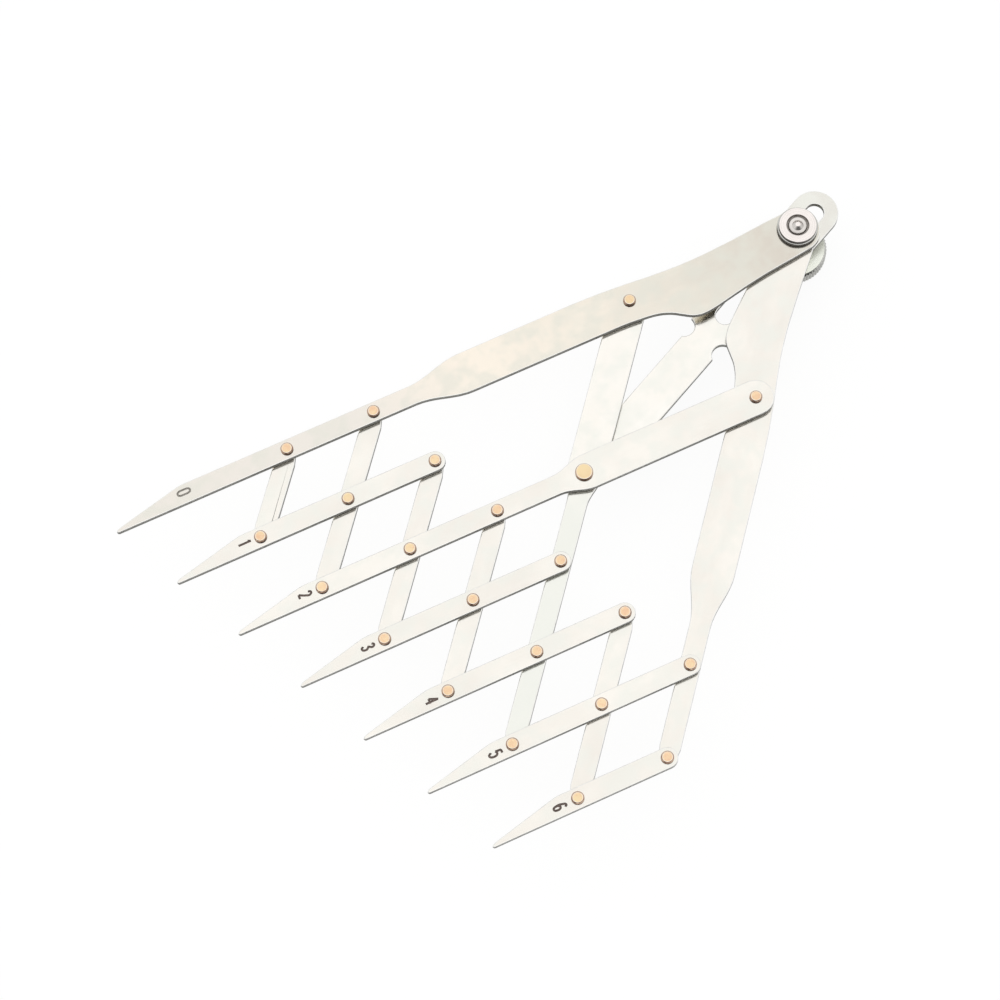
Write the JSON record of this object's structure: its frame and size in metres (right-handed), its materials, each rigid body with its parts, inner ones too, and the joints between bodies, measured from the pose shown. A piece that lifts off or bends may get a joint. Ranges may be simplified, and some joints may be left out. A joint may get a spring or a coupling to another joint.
{
  "type": "equal spacing divider",
  "caption": "Flat riveted lattice of point bars and links that opens like a fan to mark equal steps, with two handle arms and a slotted strip locked by a thumb screw.",
  "frame": {"origin": "middle of the thumb screw's underside, on the axis where the two handle arms pivot", "axes": "+X along the slotted strip's middle line from the pivot to the points, +Y across the lattice from point 0 to point 6, +Z out of the numbered face, away from the thumb screw"},
  "size_m": [0.1564, 0.1215, 0.0163],
  "materials": {
    "arm_steel": "satin rolled sheet steel, warm grey",
    "sheet_steel": "bright satin rolled sheet steel",
    "copper": "copper-coloured rivets, polished by wear",
    "screw_steel": "turned and knurled steel",
    "nut_steel": "turned bright steel"
  },
  "bodies": {
    "point_arm_0": {"point_arm_0": "arm_steel", "rivet_point_arm_0_link_lever_4": "copper", "rivet_point_arm_0_link_1": "copper", "rivet_point_arm_0_link_0": "copper", "front_nut": "nut_steel"},
    "handle_arm": {"handle_arm": "sheet_steel"},
    "point_bar_1": {"point_bar_1": "sheet_steel", "rivet_point_bar_1_link_2": "copper", "rivet_point_bar_1_link_1": "copper", "rivet_point_bar_1_link_0": "copper"},
    "point_lever_2": {"point_lever_2": "sheet_steel", "rivet_point_lever_2_handle_arm": "copper", "centre_rivet": "copper", "rivet_point_lever_2_link_3": "copper", "rivet_point_lever_2_link_2": "copper", "rivet_point_lever_2_link_1": "copper"},
    "point_bar_3": {"point_bar_3": "sheet_steel", "rivet_point_bar_3_link_lever_4": "copper", "rivet_point_bar_3_link_3": "copper", "rivet_point_bar_3_link_2": "copper"},
    "point_bar_4": {"point_bar_4": "sheet_steel", "rivet_point_bar_4_link_5": "copper", "rivet_point_bar_4_link_lever_4": "copper", "rivet_point_bar_4_link_3": "copper"},
    "point_bar_5": {"point_bar_5": "sheet_steel", "rivet_point_bar_5_handle_arm": "copper", "rivet_point_bar_5_link_5": "copper", "rivet_point_bar_5_link_lever_4": "copper"},
    "point_bar_6": {"point_bar_6": "sheet_steel", "rivet_point_bar_6_handle_arm": "copper", "rivet_point_bar_6_link_5": "copper"},
    "link_0": {"link_0": "sheet_steel"},
    "link_1": {"link_1": "sheet_steel"},
    "link_2": {"link_2": "sheet_steel"},
    "link_3": {"link_3": "sheet_steel"},
    "link_lever_4": {"link_lever_4": "sheet_steel"},
    "link_5": {"link_5": "sheet_steel"},
    "slotted_strip": {"slotted_strip": "sheet_steel"},
    "lock_washer": {"lock_washer": "screw_steel"},
    "thumb_screw": {"thumb_screw": "screw_steel"}
  },
  "joints": [
    {"name": "opening", "type": "hinge", "parent": "point_arm_0", "child": "handle_arm", "pos_m": [0, 0, 0.0121], "axis": [0, 0, 1], "range_deg": [-29.5, 56]},
    {"name": "link_0_turn", "type": "hinge", "parent": "point_arm_0", "child": "link_0", "pos_m": [0.10822, -0.05184, 0.0121], "axis": [0, 0, 1], "range_deg": [-30, 56.5]},
    {"name": "link_1_turn", "type": "hinge", "parent": "point_arm_0", "child": "link_1", "pos_m": [0.09019, -0.0432, 0.0121], "axis": [0, 0, 1], "range_deg": [-30, 56.5]},
    {"name": "link_lever_4_turn", "type": "hinge", "parent": "point_arm_0", "child": "link_lever_4", "pos_m": [0.03607, -0.01728, 0.0121], "axis": [0, 0, 1], "range_deg": [-30, 56.5]},
    {"name": "point_bar_1_turn", "type": "hinge", "parent": "link_1", "child": "point_bar_1", "pos_m": [0.10822, -0.03456, 0.0136], "axis": [0, 0, 1], "range_deg": [-56.5, 30]},
    {"name": "point_lever_2_turn", "type": "hinge", "parent": "handle_arm", "child": "point_lever_2", "pos_m": [0.03607, 0.01728, 0.0136], "axis": [0, 0, 1], "range_deg": [-56.5, 30]},
    {"name": "point_bar_3_turn", "type": "hinge", "parent": "link_lever_4", "child": "point_bar_3", "pos_m": [0.09019, 0.00864, 0.0136], "axis": [0, 0, 1], "range_deg": [-56.5, 30]},
    {"name": "point_bar_4_turn", "type": "hinge", "parent": "link_lever_4", "child": "point_bar_4", "pos_m": [0.10822, 0.01728, 0.0136], "axis": [0, 0, 1], "range_deg": [-56.5, 30]},
    {"name": "point_bar_5_turn", "type": "hinge", "parent": "handle_arm", "child": "point_bar_5", "pos_m": [0.09019, 0.0432, 0.0136], "axis": [0, 0, 1], "range_deg": [-56.5, 30]},
    {"name": "point_bar_6_turn", "type": "hinge", "parent": "handle_arm", "child": "point_bar_6", "pos_m": [0.10822, 0.05184, 0.0136], "axis": [0, 0, 1], "range_deg": [-56.5, 30]},
    {"name": "link_2_turn", "type": "hinge", "parent": "point_lever_2", "child": "link_2", "pos_m": [0.10822, -0.01728, 0.0121], "axis": [0, 0, 1], "range_deg": [-30, 56.5]},
    {"name": "link_3_turn", "type": "hinge", "parent": "point_lever_2", "child": "link_3", "pos_m": [0.09019, -0.00864, 0.0121], "axis": [0, 0, 1], "range_deg": [-30, 56.5]},
    {"name": "link_5_turn", "type": "hinge", "parent": "point_bar_5", "child": "link_5", "pos_m": [0.10822, 0.03456, 0.0121], "axis": [0, 0, 1], "range_deg": [-30, 56.5]},
    {"name": "slotted_strip_turn", "type": "hinge", "parent": "point_lever_2", "child": "slotted_strip", "pos_m": [0.07215, 0, 0.0106], "axis": [0, 0, 1], "range_deg": [-15.25, 28.5]},
    {"name": "lock_travel", "type": "slide", "parent": "point_arm_0", "child": "lock_washer", "axis": [0, 0, -1], "range_m": [0, 0.0007]},
    {"name": "lock_knob_turn", "type": "hinge", "parent": "lock_washer", "child": "thumb_screw", "pos_m": [0, 0, 0], "axis": [0, 0, -1], "range_deg": [-1, 361]}
  ],
  "couplings": [
    {"joint": "link_0_turn", "follows": "opening", "ratio": 1},
    {"joint": "link_1_turn", "follows": "opening", "ratio": 1},
    {"joint": "link_lever_4_turn", "follows": "opening", "ratio": 1},
    {"joint": "point_bar_1_turn", "follows": "opening", "ratio": -1},
    {"joint": "point_lever_2_turn", "follows": "opening", "ratio": -1},
    {"joint": "point_bar_3_turn", "follows": "opening", "ratio": -1},
    {"joint": "point_bar_4_turn", "follows": "opening", "ratio": -1},
    {"joint": "point_bar_5_turn", "follows": "opening", "ratio": -1},
    {"joint": "point_bar_6_turn", "follows": "opening", "ratio": -1},
    {"joint": "link_2_turn", "follows": "opening", "ratio": 1},
    {"joint": "link_3_turn", "follows": "opening", "ratio": 1},
    {"joint": "link_5_turn", "follows": "opening", "ratio": 1},
    {"joint": "slotted_strip_turn", "follows": "opening", "ratio": 0.5},
    {"joint": "lock_knob_turn", "follows": "lock_travel", "rad_per_m": 8976}
  ]
}
